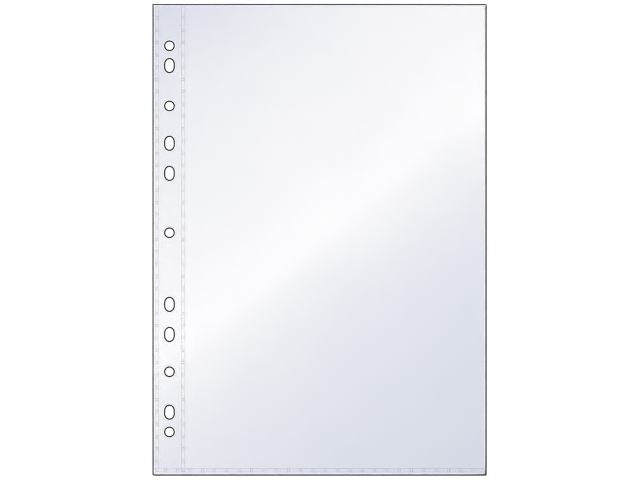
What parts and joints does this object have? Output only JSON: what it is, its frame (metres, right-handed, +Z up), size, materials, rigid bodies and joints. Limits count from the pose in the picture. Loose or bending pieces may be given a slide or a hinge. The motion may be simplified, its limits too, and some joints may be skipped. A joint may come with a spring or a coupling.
{
  "type": "punched plastic pocket",
  "caption": "Flat clear film pocket for papers, open along one short edge, with dashed welds and a punched, reinforced filing margin that folds along a crease.",
  "frame": {"origin": "middle of the footprint, on the surface that the pocket lies on", "axes": "+X from the punched margin to the folded edge, +Y from the welded bottom edge to the open mouth, +Z up out of the front film"},
  "size_m": [0.207, 0.2924, 0.0063],
  "materials": {
    "clear_film": "gloss",
    "strip_film": "satin",
    "welded_film": "satin"
  },
  "bodies": {
    "punched_margin": {"back_margin_film": "clear_film", "front_margin_film": "clear_film", "reinforcing_strip": "strip_film", "outer_seam": "welded_film", "inner_seam": "welded_film", "margin_bottom_seam": "welded_film", "back_crease_film": "clear_film", "front_crease_film": "clear_film", "crease_bottom_seam": "welded_film"},
    "pocket_leaf": {"back_panel": "clear_film", "front_panel": "clear_film", "side_fold": "clear_film", "pocket_bottom_seam": "welded_film"}
  },
  "joints": [
    {"name": "page_turn", "type": "hinge", "parent": "punched_margin", "child": "pocket_leaf", "pos_m": [-0.0818, 0, 0.00017], "axis": [0, -1, 0], "range_deg": [-160, 160], "stiffness_Nm_per_rad": 0.001, "deforming": ["back_crease_film", "front_crease_film", "crease_bottom_seam"]}
  ]
}
